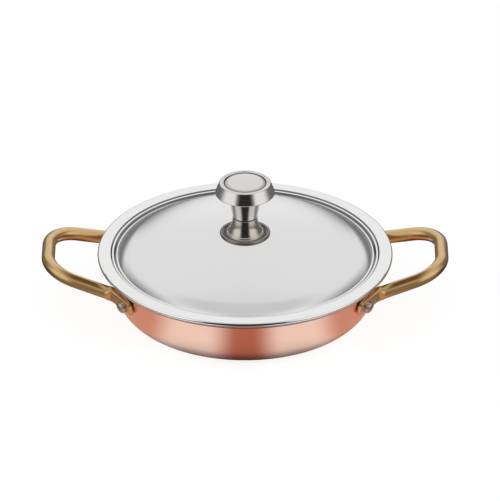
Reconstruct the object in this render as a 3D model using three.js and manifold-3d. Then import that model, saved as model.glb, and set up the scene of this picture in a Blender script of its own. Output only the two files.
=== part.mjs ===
// Shallow two-handled pan with a lift-off lid.
// Millimetres, +Z up, origin at the centre of the pan's base. The handles lie along X.
import * as THREE from 'three';
import { mergeVertices } from 'three/addons/utils/BufferGeometryUtils.js';
import Module from 'manifold-3d';

const wasm = await Module();
wasm.setup();

// Pan: one clad sheet of copper, aluminium and steel
const panHeight = 35.85; // base to the flat top of the rim
const rimRadius = 90;
const rimLip = 2.4; // from the wall's own line out to the edge of the rim
const flareRadius = 3; // bend between the wall and the rim, outside
const wallLean = 16.7; // degrees off upright
const cornerRadius = 16; // bend between the base and the wall, outside
const copperThick = 0.5;
const coreThick = 0.8;
const linerThick = 0.5;
const bondGap = 0.05; // between two layers of the sheet

// Lid: pressed sheet with a hemmed edge
const lidOverhang = 2; // lid's edge past the edge of the rim
const lidSheet = 0.8;
const hemGap = 0.9; // open space inside the folded edge
const hemBearing = 1.2; // how far the folded edge comes in over the rim
const flangeWidth = 8;
const flangeFillet = 1.2;
const ledgeRun = 1.05; // flange edge in to the small ledge
const ledgeDrop = 0.8; // flange down to the ledge
const ledgeWidth = 1.2;
const ledgeFall = 0.15; // of the ledge, outside to inside
const ledgeFillet = 0.9;
const stepRun = 1.85; // ledge in to the groove
const grooveDepth = 2.3; // below the flange
const grooveFillet = 1;
const shoulderRun = 4.3; // groove in to the dome's edge
const shoulderFillet = 20;
const shoulderStart = 6; // dome's edge in to where its shoulder starts to bend
const domeRadius = 309;
const crownRise = 10.7; // flange up to the flat seat of the knob
const knobSeatRadius = 13;
const restGap = 0.05; // between pieces that lie on each other

// Knob: rosette, turned foot and head, plain disc, screw and washer
const rosetteRadius = 15.75;
const rosetteHeight = 3.4;
const rosetteRim = 2.2; // width of the raised ring
const rosetteTuck = 0.85; // height of the curve under the ring's side
const rosetteSide = 2.2; // height where the ring is widest
const dishFloor = 2; // height of the rosette's dished floor
const footRadius = 11.5;
const footBead = 2.1; // height of the round at the bottom of the foot
const footHeight = 12.5;
const flareHeight = 5.25; // where the foot's hollow curve turns upright
const waistRadius = 7.85;
const jointGap = 0.8; // open height of the joint at the waist
const jointDepth = 1;
const neckRadius = 10.7; // where the neck meets the cap
const neckHeight = 13;
const neckWaist = 8.8; // radius that the neck's curve makes for
const capRadius = 18.5;
const capEdgeHeight = 16.3; // waist up to the widest edge of the cap
const capEdge = 0.8; // rounding under that edge
const capTopRadius = 15.9; // outer edge of the raised ring on top
const capHeight = 23.3; // waist up to the top of the cap
const capRound = 0.7; // rounding of the cap's top edge
const ringWidth = 1.7; // of the raised ring
const ringStep = 0.3; // ring down to the ledge inside it
const recessBevel = 0.3; // slope of the recess, from its top edge in to the disc
const discRadius = 12.7;
const discThick = 1.5;
const discRim = 0.4; // thickness of the domed disc at its edge
const discRoll = 2; // width of its rolled edge
const discRollRise = 0.5;
const discRise = 0.5; // disc's middle above the ring
const screwRadius = 2.5;
const screwGrip = 12; // length of screw inside the knob's head
const screwHeadRadius = 4.5;
const screwHeadHeight = 2.6;
const screwPoint = 0.6; // chamfer at its upper end
const slotWidth = 1.2;
const slotDepth = 1;
const washerRadius = 6;
const washerThick = 1;

// Handles: round rod with flattened lugs, one rivet each
const rodRadius = 4.15;
const barOut = 32.5; // rim's edge out to the middle of the bar
const barHeight = 38.3;
const barHalfWidth = 26.2; // where the lines of bar and leg meet
const barFillet = 23;
const lugThick = 2.2; // at its end
const lugRootThick = 4.6; // where the leg's line meets it
const lugWidth = 11;
const lugTurn = 34.5; // degrees round from X to the line that the lug is square to
const lugSlope = 9; // degrees below level
const lugEnd = 8.5; // from the rivet to the lug's end
const lugCorner = 3; // rounding of the lug's end
const lugBend = 4; // bend from the leg into the lug
const pressLength = 3.5; // stretch of leg pressed from round to flat, ahead of the bend
const rodSquareness = 2; // power of the rod's section: 2 is round, more is squarer
const lugSquareness = 6;
const noseTurn = Math.PI / 2; // turn of each rounded corner of the lug's end
const rivetBack = 5.8; // from the line that the lug is square to, back to the rivet
const rivetHeight = 24.7;
const rivetDrop = 1.6; // rivet below the middle of the lug
const rivetRun = 10.7; // along the lug, from the leg's line to the rivet
const rivetShank = 2;
const rivetHeadRadius = 3.7;
const rivetHeadHeight = 2.6;
const rivetButtonRadius = 4.2; // head on the inside of the pan
const rivetButtonHeight = 1.2;
const fitGap = 0.3; // between pieces that are cut to, or seated on, each other

// Facets
const panSegments = 40;
const knobSegments = 24;
const rivetSegments = 16;
const rodSides = 12;
const barSteps = 7;
const lugSteps = 4;
const pressSteps = 3;

const degrees = Math.PI / 180;
const lean = wallLean * degrees;
const cladThick = copperThick + coreThick + linerThick + 2 * bondGap;
const hemHeight = 2 * lidSheet + hemGap;
const hemReach = lidOverhang + hemBearing;
const lidRadius = rimRadius + lidOverhang;
const lidZ = panHeight + restGap + hemHeight; // top of the lid's flange
const boreRadius = screwRadius + fitGap;

const copper = new THREE.MeshStandardMaterial({ color: 0xd98866, metalness: 1, roughness: 0.32 });
const aluminium = new THREE.MeshStandardMaterial({ color: 0xc9c6c6, metalness: 1, roughness: 0.5 });
const linerSteel = new THREE.MeshStandardMaterial({ color: 0xc8c6c3, metalness: 1, roughness: 0.35 });
const polishedSteel = new THREE.MeshStandardMaterial({ color: 0xd6d5d4, metalness: 1, roughness: 0.15 });
const turnedSteel = new THREE.MeshStandardMaterial({ color: 0xb9b6b1, metalness: 1, roughness: 0.28 });
const brass = new THREE.MeshStandardMaterial({ color: 0xb08d4f, metalness: 1, roughness: 0.4 });
const rivetSteel = new THREE.MeshStandardMaterial({ color: 0xb7adab, metalness: 1, roughness: 0.35 });

// Closed mesh with shared corners and no empty triangles, facing out
function closed(source) {
  const bare = source.clone();
  bare.deleteAttribute('normal');
  bare.deleteAttribute('uv');
  const joined = mergeVertices(bare, 1e-4);
  const corners = joined.getIndex().array;
  const at = joined.getAttribute('position');
  const kept = [];
  const [a, b, c] = [new THREE.Vector3(), new THREE.Vector3(), new THREE.Vector3()];
  let volume = 0;
  for (let i = 0; i < corners.length; i += 3) {
    const [p, q, r] = corners.slice(i, i + 3);
    if (p === q || q === r || r === p) continue;
    kept.push([p, q, r]);
    const across = b.fromBufferAttribute(at, q).cross(c.fromBufferAttribute(at, r));
    volume += a.fromBufferAttribute(at, p).dot(across);
  }
  joined.setIndex(kept.flatMap(([p, q, r]) => (volume < 0 ? [p, r, q] : [p, q, r])));
  return joined;
}

function toSolid(geometry) {
  const mesh = closed(geometry);
  return new wasm.Manifold(new wasm.Mesh({
    numProp: 3,
    vertProperties: new Float32Array(mesh.getAttribute('position').array),
    triVerts: new Uint32Array(mesh.getIndex().array),
  }));
}

function toGeometry(solid) {
  const { vertProperties, triVerts } = solid.getMesh();
  const geometry = new THREE.BufferGeometry();
  geometry.setAttribute('position', new THREE.BufferAttribute(vertProperties, 3));
  geometry.setIndex(new THREE.BufferAttribute(triVerts, 1));
  return geometry;
}

function cut(geometry, cutters) {
  return toGeometry(cutters.reduce((solid, cutter) => solid.subtract(toSolid(cutter)), toSolid(geometry)));
}

// Solid of revolution about Z from (radius, height) points
function turned(points, segments) {
  return closed(new THREE.LatheGeometry(points, segments).rotateX(Math.PI / 2));
}

function named(name, geometry, material) {
  const mesh = new THREE.Mesh(geometry, material);
  mesh.name = name;
  return mesh;
}

// Face of a bent sheet: the line through the corners, moved sideways by depth (left is positive),
// with an arc at each corner that has a fillet
function sheetFace(corners, depth) {
  const side = (from, to) => new THREE.Vector2(from.z - to.z, to.r - from.r).normalize();
  const points = [];
  corners.forEach(({ r, z, fillet = 0, steps = 1 }, i) => {
    const here = new THREE.Vector2(r, z);
    const before = i > 0 ? side(corners[i - 1], corners[i]) : null;
    const after = i < corners.length - 1 ? side(corners[i], corners[i + 1]) : null;
    if (!before || !after) {
      points.push(here.addScaledVector(before ?? after, depth));
      return;
    }
    const middle = before.clone().add(after).normalize();
    const half = Math.acos(Math.min(1, middle.dot(before)));
    const turn = Math.sign(before.cross(after));
    if (fillet === 0) {
      points.push(here.addScaledVector(middle, depth / Math.cos(half)));
      return;
    }
    const centre = here.addScaledVector(middle, turn * fillet / Math.cos(half));
    const radius = turn * fillet - depth;
    for (let k = 0; k <= steps; k += 1) {
      const swing = before.clone().rotateAround(new THREE.Vector2(), turn * 2 * half * k / steps);
      points.push(centre.clone().addScaledVector(swing, -radius));
    }
  });
  return points;
}

// Closed outline of a layer of sheet between two depths
function layer(corners, near, far) {
  const outline = [...sheetFace(corners, near), ...sheetFace(corners, far).reverse()];
  return [...outline, outline[0].clone()];
}

// Outside of the pan: base, wall and turned-out rim
const rimUnder = panHeight - cladThick;
const wallTop = { r: rimRadius - rimLip, z: rimUnder, fillet: flareRadius, steps: 2 };
const wallFoot = { r: wallTop.r - rimUnder * Math.tan(lean), z: 0, fillet: cornerRadius, steps: 4 };
const panLine = [{ r: 0, z: 0 }, wallFoot, wallTop, { r: rimRadius, z: rimUnder }];
const wallRadius = (z) => wallTop.r - (rimUnder - z) * Math.tan(lean);

// Place at an azimuth and a height of the wall, so many millimetres off it
function wallPlace(azimuth, height, off) {
  const reach = wallRadius(height);
  const foot = new THREE.Vector3(reach * Math.cos(azimuth), reach * Math.sin(azimuth), height);
  return foot.addScaledVector(wallNormal(azimuth), off);
}

function wallNormal(azimuth) {
  const level = new THREE.Vector3(Math.cos(azimuth), Math.sin(azimuth), 0);
  return level.multiplyScalar(Math.cos(lean)).setZ(-Math.sin(lean));
}

// Lug: a flat wedge that the leg's line runs into, with its back against the round wall at the rivet
const lugAzimuth = lugTurn * degrees;
const lugLength = rivetRun + lugEnd;
const lugHalf = (along) => THREE.MathUtils.lerp(lugRootThick, lugThick, along / lugLength) / 2;
const wallDip = (run) => run ** 2 / (2 * wallRadius(rivetHeight)); // wall below its tangent plane
const lugOff = fitGap - wallDip(rivetBack) + lugHalf(rivetRun);
const lugNormal = wallNormal(lugAzimuth);
const lugLevel = new THREE.Vector3(-Math.sin(lugAzimuth), Math.cos(lugAzimuth), 0);
const lugUp = lugNormal.clone().cross(lugLevel);
const lugLine = lugLevel.clone().applyAxisAngle(lugNormal, -lugSlope * degrees);
const lugMiddle = wallPlace(lugAzimuth, rivetHeight, lugOff)
  .addScaledVector(lugLevel, -rivetBack)
  .addScaledVector(lugUp, rivetDrop);
const lugPlace = (along) => lugMiddle.clone().addScaledVector(lugLine, along - rivetRun);

// Centre line of half a handle, from the middle of the bar to the end of the back lug
const barReach = rimRadius + barOut;
const bar = new THREE.Vector3(barReach, 0, barHeight);
const barCorner = new THREE.Vector3(barReach, barHalfWidth, barHeight);
const root = lugPlace(0);
const legLine = root.clone().sub(barCorner).normalize();

// Points of a round bend at b between the lines from a and to c
function bend(a, b, c, radius, steps) {
  const back = a.clone().sub(b).normalize();
  const ahead = c.clone().sub(b).normalize();
  const half = back.angleTo(ahead) / 2;
  const centre = b.clone().addScaledVector(back.clone().add(ahead).normalize(), radius / Math.sin(half));
  const start = b.clone().addScaledVector(back, radius / Math.tan(half)).sub(centre);
  const axis = start.clone().cross(back).negate().normalize();
  return Array.from({ length: steps + 1 }, (_, k) =>
    start.clone().applyAxisAngle(axis, (Math.PI - 2 * half) * k / steps).add(centre));
}

// Half a handle as rings: round rod on the loop, flat plate on the lug
function handleRings() {
  const corner = bend(bar, barCorner, root, barFillet, barSteps);
  const turnIn = bend(barCorner, root, lugMiddle, lugBend, lugSteps);
  const pressed = Array.from({ length: pressSteps + 1 }, (_, k) =>
    turnIn[0].clone().addScaledVector(legLine, pressLength * (k / pressSteps - 1)));
  const bendEnd = turnIn.at(-1).distanceTo(root);
  const flat = lugLength - lugCorner;
  const stops = [(bendEnd + flat) / 2, flat];
  for (let k = 1; k <= lugSteps; k += 1) {
    stops.push(flat + lugCorner * Math.sin(k * noseTurn / lugSteps));
  }
  const plate = stops.map((along) => ({ at: lugPlace(along), along }));
  const rod = [bar, ...corner, ...pressed, ...turnIn].map((at) => ({ at }));
  const spots = [...rod, ...plate];
  const pressFrom = 1 + corner.length;
  let normal = lugNormal;
  return spots.map((spot, i) => ({ ...spot, i })).reverse().map(({ at, i, along = 0 }) => {
    const next = spots[Math.min(i + 1, spots.length - 1)].at;
    const heading = i === 0 ? new THREE.Vector3(0, 1, 0) : next.clone().sub(spots[i - 1].at).normalize();
    normal = normal.clone().addScaledVector(heading, -normal.dot(heading)).normalize();
    const across = heading.clone().cross(normal);
    const share = THREE.MathUtils.smoothstep(i, pressFrom, pressFrom + pressSteps);
    const nose = Math.max(0, along - flat);
    const trim = lugCorner - Math.sqrt(Math.max(0, lugCorner ** 2 - nose ** 2));
    const halfWide = THREE.MathUtils.lerp(rodRadius, lugWidth / 2, share) - trim;
    const halfThick = THREE.MathUtils.lerp(rodRadius, lugHalf(along), share);
    const power = 2 / THREE.MathUtils.lerp(rodSquareness, lugSquareness, share);
    return Array.from({ length: rodSides }, (_, k) => {
      const angle = 2 * Math.PI * k / rodSides;
      const bulge = (value) => Math.sign(value) * Math.abs(value) ** power;
      return at.clone()
        .addScaledVector(normal, halfThick * bulge(Math.cos(angle)))
        .addScaledVector(across, halfWide * bulge(Math.sin(angle)));
    });
  }).reverse();
}

// Skin through a row of rings, with a flat cap at each end
function loft(rings) {
  const sides = rings[0].length;
  const points = rings.flat();
  const faces = [];
  for (let i = 0; i < rings.length - 1; i += 1) {
    for (let k = 0; k < sides; k += 1) {
      const [a, b] = [i * sides + k, i * sides + (k + 1) % sides];
      faces.push(a, b, b + sides, a, b + sides, a + sides);
    }
  }
  [0, rings.length - 1].forEach((end) => {
    const middle = rings[end].reduce((sum, p) => sum.add(p), new THREE.Vector3()).divideScalar(sides);
    points.push(middle);
    for (let k = 0; k < sides; k += 1) {
      const edge = [end * sides + k, end * sides + (k + 1) % sides];
      faces.push(points.length - 1, ...(end === 0 ? edge.reverse() : edge));
    }
  });
  const geometry = new THREE.BufferGeometry().setFromPoints(points);
  geometry.setIndex(faces);
  return closed(geometry);
}

// Frame at a rivet: Z points straight out of the lug, and Z = 0 on the plane that touches the copper
function rivetFrame(azimuth, way) {
  const frame = new THREE.Group();
  const seat = new THREE.Group();
  frame.rotation.z = azimuth;
  seat.position.set(wallRadius(rivetHeight), -way * rivetBack, rivetHeight);
  seat.rotation.y = Math.PI / 2 + lean;
  frame.add(seat);
  frame.updateMatrixWorld(true);
  return { frame, seat };
}

const rivetPlaces = [
  ['rivet_right_back', lugAzimuth, 1],
  ['rivet_left_back', Math.PI - lugAzimuth, -1],
  ['rivet_left_front', Math.PI + lugAzimuth, 1],
  ['rivet_right_front', -lugAzimuth, -1],
];

// Round cutter through lug and wall at one rivet
function rivetHole(azimuth, way) {
  const length = 2 * (cladThick + lugOff + lugRootThick + rivetHeadHeight);
  const pin = new THREE.CylinderGeometry(rivetShank + fitGap, rivetShank + fitGap, length, rivetSegments);
  return pin.rotateX(Math.PI / 2).applyMatrix4(rivetFrame(azimuth, way).seat.matrixWorld);
}

function makePan() {
  const group = new THREE.Group();
  const holes = rivetPlaces.map(([, azimuth, way]) => rivetHole(azimuth, way));
  const layers = [
    ['copper_shell', copperThick, copper],
    ['aluminium_core', coreThick, aluminium],
    ['steel_liner', linerThick, linerSteel],
  ];
  let depth = 0;
  layers.forEach(([name, thick, material]) => {
    const outline = layer(panLine, depth, depth + thick);
    group.add(named(name, cut(turned(outline, panSegments), holes), material));
    depth += thick + bondGap;
  });
  return group;
}

function makeHandles() {
  const half = handleRings();
  const mirrored = half.slice(1).map((ring) => ring.map((p) => p.clone().setY(-p.y)));
  const rod = loft([...mirrored.reverse(), ...half]);
  const drilled = cut(rod, [rivetHole(lugAzimuth, 1), rivetHole(-lugAzimuth, -1)]);
  const group = new THREE.Group();
  const left = named('handle_left', drilled, brass);
  left.rotation.z = Math.PI;
  group.add(left, named('handle_right', drilled, brass));
  return group;
}

// Rivet with a domed head on the lug and a low button inside the pan
function makeRivets() {
  const facetDip = rimRadius * (1 - Math.cos(Math.PI / panSegments));
  const lugTaper = (lugRootThick - lugThick) / (2 * lugLength);
  const headSeat = lugOff + lugHalf(rivetRun) + lugTaper * rivetHeadRadius + fitGap;
  const buttonSeat = -(cladThick + fitGap + facetDip + wallDip(rivetBack + rivetButtonRadius));
  const outline = new THREE.Path();
  outline.moveTo(0, buttonSeat - rivetButtonHeight);
  outline.quadraticCurveTo(rivetButtonRadius, buttonSeat - rivetButtonHeight, rivetButtonRadius, buttonSeat);
  outline.lineTo(rivetShank, buttonSeat);
  outline.lineTo(rivetShank, headSeat);
  outline.lineTo(rivetHeadRadius, headSeat);
  outline.lineTo(rivetHeadRadius, headSeat + rivetHeadHeight / 2);
  outline.quadraticCurveTo(rivetHeadRadius, headSeat + rivetHeadHeight, 0, headSeat + rivetHeadHeight);
  const geometry = turned(outline.getPoints(3), rivetSegments);
  const group = new THREE.Group();
  rivetPlaces.forEach(([name, azimuth, way]) => {
    const { frame, seat } = rivetFrame(azimuth, way);
    seat.add(named(name, geometry, rivetSteel));
    group.add(frame);
  });
  return group;
}

// Lid: seat, dome, shoulder, groove, ledge, flange and hem, from the hole outwards
const hemBend = hemHeight / 2;
const flangeInner = lidRadius - flangeWidth;
const ledgeOuter = flangeInner - ledgeRun;
const ledgeInner = ledgeOuter - ledgeWidth;
const grooveRadius = ledgeInner - stepRun;
const domeEdge = grooveRadius - shoulderRun;
const sag = (r) => domeRadius - Math.sqrt(domeRadius ** 2 - r ** 2);
const domeHeight = (r) => crownRise + sag(knobSeatRadius) - sag(r);

function makeLidPlate() {
  const domeSteps = 5;
  const domeRun = domeEdge - shoulderStart - knobSeatRadius;
  const dome = Array.from({ length: domeSteps + 1 }, (_, k) => {
    const r = knobSeatRadius + domeRun * k / domeSteps;
    return { r, z: domeHeight(r) };
  });
  const line = [
    { r: boreRadius, z: crownRise },
    ...dome,
    { r: domeEdge, z: domeHeight(domeEdge), fillet: shoulderFillet, steps: 3 },
    { r: grooveRadius, z: -grooveDepth, fillet: grooveFillet, steps: 2 },
    { r: ledgeInner, z: -ledgeDrop - ledgeFall, fillet: ledgeFillet },
    { r: ledgeOuter, z: -ledgeDrop },
    { r: flangeInner, z: 0, fillet: flangeFillet, steps: 2 },
    { r: lidRadius, z: 0, fillet: hemBend, steps: 2 },
    { r: lidRadius, z: -hemHeight, fillet: hemBend, steps: 2 },
    { r: lidRadius - hemReach, z: -hemHeight },
  ];
  return named('lid_plate', turned(layer(line, 0, -lidSheet), panSegments), polishedSteel);
}

// Dished ring: raised rim outside, flat floor for the foot
function makeRosette() {
  const inner = rosetteRadius - rosetteRim;
  const outline = new THREE.Path();
  outline.moveTo(boreRadius, 0);
  outline.lineTo(knobSeatRadius, 0);
  outline.quadraticCurveTo(rosetteRadius, rosetteTuck, rosetteRadius, rosetteSide);
  outline.quadraticCurveTo(rosetteRadius, rosetteHeight, rosetteRadius - rosetteRim / 2, rosetteHeight);
  outline.quadraticCurveTo(inner, rosetteHeight, inner, dishFloor);
  outline.lineTo(boreRadius, dishFloor);
  outline.lineTo(boreRadius, 0);
  return named('knob_rosette', turned(outline.getPoints(3), knobSegments), turnedSteel);
}

// Lower half of the knob: beaded base, hollow flare up to the waist
function makeFoot() {
  const outline = new THREE.Path();
  outline.moveTo(boreRadius, 0);
  outline.lineTo(footRadius - footBead / 2, 0);
  outline.quadraticCurveTo(footRadius, 0, footRadius, footBead / 2);
  outline.quadraticCurveTo(footRadius, footBead, footRadius - footBead / 3, footBead);
  outline.quadraticCurveTo(waistRadius, flareHeight, waistRadius, footHeight - jointGap);
  outline.lineTo(waistRadius - jointDepth, footHeight - jointGap);
  outline.lineTo(waistRadius - jointDepth, footHeight);
  outline.lineTo(boreRadius, footHeight);
  outline.lineTo(boreRadius, 0);
  return named('knob_foot', turned(outline.getPoints(4), knobSegments), turnedSteel);
}

// Upper half of the knob: neck, cap with sloped side, raised ring and recess
function makeHead() {
  const ringInner = discRadius + fitGap;
  const ledge = capHeight - ringStep;
  const recess = capHeight + discRise - discThick - restGap;
  const underEdge = capEdgeHeight - capEdge;
  const outline = new THREE.Path();
  outline.moveTo(0, screwGrip + fitGap);
  outline.lineTo(boreRadius, screwGrip + fitGap);
  outline.lineTo(boreRadius, 0);
  outline.lineTo(waistRadius, 0);
  outline.quadraticCurveTo(neckWaist, neckHeight / 2, neckRadius, neckHeight);
  outline.quadraticCurveTo(neckRadius + capEdge, underEdge, capRadius - capEdge, underEdge);
  outline.quadraticCurveTo(capRadius, underEdge, capRadius, capEdgeHeight);
  outline.lineTo(capTopRadius + capRound / 3, capHeight - capRound);
  outline.quadraticCurveTo(capTopRadius, capHeight, capTopRadius - capRound, capHeight);
  outline.lineTo(capTopRadius - ringWidth, capHeight);
  outline.lineTo(capTopRadius - ringWidth, ledge);
  outline.lineTo(ringInner + recessBevel, ledge);
  outline.lineTo(ringInner, recess);
  outline.lineTo(0, recess);
  return named('knob_head', turned(outline.getPoints(3), knobSegments), turnedSteel);
}

function makeTopDisc() {
  const rollTop = discRim + discRollRise;
  const outline = new THREE.Path();
  outline.moveTo(0, 0);
  outline.lineTo(discRadius, 0);
  outline.lineTo(discRadius, discRim);
  outline.quadraticCurveTo(discRadius - discRim, rollTop, discRadius - discRoll, rollTop);
  outline.quadraticCurveTo(discRadius / 2, discThick, 0, discThick);
  return named('knob_top_disc', turned(outline.getPoints(3), knobSegments), polishedSteel);
}

// Slotted screw, Z = 0 under its head
function makeScrew(length) {
  const outline = new THREE.Path();
  outline.moveTo(0, -screwHeadHeight);
  outline.lineTo(screwHeadRadius / 2, -screwHeadHeight);
  outline.quadraticCurveTo(screwHeadRadius, -screwHeadHeight, screwHeadRadius, -screwHeadHeight / 3);
  outline.lineTo(screwHeadRadius, 0);
  outline.lineTo(screwRadius, 0);
  outline.lineTo(screwRadius, length - screwPoint);
  outline.lineTo(screwRadius - screwPoint, length);
  outline.lineTo(0, length);
  const slot = new THREE.BoxGeometry(3 * screwHeadRadius, slotWidth, 2 * slotDepth);
  slot.translate(0, 0, -screwHeadHeight);
  return named('knob_screw', cut(turned(outline.getPoints(3), knobSegments), [slot]), turnedSteel);
}

function makeWasher() {
  const outline = [
    new THREE.Vector2(boreRadius, 0),
    new THREE.Vector2(washerRadius, 0),
    new THREE.Vector2(washerRadius, washerThick),
    new THREE.Vector2(boreRadius, washerThick),
    new THREE.Vector2(boreRadius, 0),
  ];
  return named('screw_washer', turned(outline, knobSegments), turnedSteel);
}

// Lid with its knob stacked on the seat and the screw up through the middle
function makeLid() {
  const group = new THREE.Group();
  const rosette = makeRosette();
  const foot = makeFoot();
  const head = makeHead();
  const disc = makeTopDisc();
  const washer = makeWasher();
  rosette.position.z = crownRise + restGap;
  foot.position.z = rosette.position.z + dishFloor + restGap;
  head.position.z = foot.position.z + footHeight + restGap;
  disc.position.z = head.position.z + capHeight + discRise - discThick;
  washer.position.z = crownRise - lidSheet - restGap - washerThick;
  const screwSeat = washer.position.z - restGap;
  const screw = makeScrew(head.position.z + screwGrip - screwSeat);
  screw.position.z = screwSeat;
  group.add(makeLidPlate(), rosette, foot, head, disc, washer, screw);
  group.position.z = lidZ;
  return group;
}

const pan = new THREE.Group();
pan.add(makePan(), makeHandles(), makeRivets(), makeLid());

export default pan;
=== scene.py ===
import bpy
import numpy as np
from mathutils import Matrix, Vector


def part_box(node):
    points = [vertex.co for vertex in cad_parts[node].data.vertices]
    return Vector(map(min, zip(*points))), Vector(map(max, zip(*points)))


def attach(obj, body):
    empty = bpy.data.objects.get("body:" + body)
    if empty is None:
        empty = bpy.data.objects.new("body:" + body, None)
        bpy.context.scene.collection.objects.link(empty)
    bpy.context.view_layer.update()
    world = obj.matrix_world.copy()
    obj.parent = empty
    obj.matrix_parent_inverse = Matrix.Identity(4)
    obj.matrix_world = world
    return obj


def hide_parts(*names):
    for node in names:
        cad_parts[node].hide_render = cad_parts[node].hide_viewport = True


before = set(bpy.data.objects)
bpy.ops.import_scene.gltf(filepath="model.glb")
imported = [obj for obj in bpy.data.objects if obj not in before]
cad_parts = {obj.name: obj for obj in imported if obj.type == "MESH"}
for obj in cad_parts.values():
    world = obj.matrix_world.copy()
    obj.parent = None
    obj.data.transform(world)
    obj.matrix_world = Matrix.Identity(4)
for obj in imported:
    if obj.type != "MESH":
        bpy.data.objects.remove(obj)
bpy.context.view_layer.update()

mm = 0.001
print("frame loaded:", len(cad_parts), "nodes")


# Small tools

def linear(hexColour):  # sRGB hex to the linear colour that shaders take
    share = np.array([int(hexColour[i:i + 2], 16) for i in (0, 2, 4)]) / 255
    return (*np.where(share <= 0.04045, share / 12.92, ((share + 0.055) / 1.055) ** 2.4), 1.0)


def addNode(tree, kind, links=None, **settings):  # a socket in links is joined, a value is set
    node = tree.nodes.new(kind)
    for name, value in settings.items():
        setattr(node, name, value)
    for socket, value in (links or {}).items():
        if isinstance(value, bpy.types.NodeSocket):
            tree.links.new(value, node.inputs[socket])
        else:
            node.inputs[socket].default_value = value
    return node


def newMaterial(name):
    material = bpy.data.materials.new(name)
    material.use_nodes = True
    material.node_tree.nodes.clear()
    return material, material.node_tree


def calc(tree, operation, first, second=0.0):
    return addNode(tree, "ShaderNodeMath", {0: first, 1: second}, operation=operation).outputs["Value"]


def product(tree, first, *others):
    for other in others:
        first = calc(tree, "MULTIPLY", first, other)
    return first


def ease(tree, value, start, end, low=0.0, high=1.0):  # smooth step from low at start to high at end
    return addNode(tree, "ShaderNodeMapRange", {
        "Value": value, "From Min": start, "From Max": end, "To Min": low, "To Max": high},
        interpolation_type="SMOOTHSTEP").outputs["Result"]


def band(tree, value, start, end):  # 1 between two soft ends, 0 beyond them
    return product(tree, ease(tree, value, *start), ease(tree, value, *end, 1.0, 0.0))


def mixed(tree, share, first, second):  # from the first colour to the second, each a hex or a socket
    ends = [linear(colour) if isinstance(colour, str) else colour for colour in (first, second)]
    return addNode(tree, "ShaderNodeMix", {
        "Factor": share, "A": ends[0], "B": ends[1]}, data_type="RGBA").outputs["Result"]


def boxOf(node):  # a node's lowest and highest corner, in millimetres
    low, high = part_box(node)
    return np.array(low) / mm, np.array(high) / mm


# Shapes

arcStep = np.radians(7)  # longest step along a fillet
onAxis = 1e-6  # a smaller radius is the axis


def rounded(corners, loop=False):
    # Line through (radius, height, fillet) corners, walked with the solid on its left. A fillet becomes an
    # arc that touches both sides, and a corner without one is a point of a curve. Gives the points and
    # their outward normals.
    corners = np.array(corners, float)
    points, normals = [], []
    for i, fillet in enumerate(corners[:, 2]):
        here = corners[i, :2]
        before = here - corners[i - 1, :2]
        after = corners[(i + 1) % len(corners), :2] - here
        if not loop and i == 0:
            before = after
        if not loop and i == len(corners) - 1:
            after = before
        before, after = before / np.hypot(*before), after / np.hypot(*after)
        turn = np.arctan2(before[0] * after[1] - before[1] * after[0], before @ after)
        swing = np.linspace(0, turn, 2 + int(abs(turn) / arcStep)) if fillet else np.array([turn / 2])
        side = np.array([before[1], -before[0]])
        out = np.outer(np.cos(swing), side) + np.outer(np.sin(swing), before)
        bend = np.sign(turn) * fillet
        start = here - before * fillet * np.tan(abs(turn) / 2)
        points.append(start + (out - side) * bend)
        normals.append(out)
    return np.concatenate(points), np.concatenate(normals)


def moved(corners, depth):
    # The same line, moved to its left by depth: each corner goes along the middle of its two normals, and
    # each fillet keeps its centre
    corners = np.array(corners, float)
    step = np.diff(corners[:, :2], axis=0)
    left = np.stack([-step[:, 1], step[:, 0]], 1) / np.hypot(*step.T)[:, None]
    before, after = np.concatenate([left[:1], left]), np.concatenate([left, left[-1:]])
    middle = before + after
    middle /= np.hypot(*middle.T)[:, None]
    turn = np.sign(before[:, 0] * after[:, 1] - before[:, 1] * after[:, 0])
    turn[[0, -1]] = 0
    line = corners.copy()
    line[:, :2] += middle * depth / np.sum(middle * before, 1)[:, None]
    line[:, 2] = np.where(corners[:, 2] > 0, corners[:, 2] - turn * depth, 0)
    return line


def curve(start, pull, end, steps=10):  # points of a quadratic curve, without its start
    t = np.linspace(0, 1, steps + 1)[1:, None]
    line = (1 - t) ** 2 * np.array(start) + 2 * t * (1 - t) * np.array(pull) + t ** 2 * np.array(end)
    return np.c_[line, np.zeros(steps)].tolist()


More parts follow.
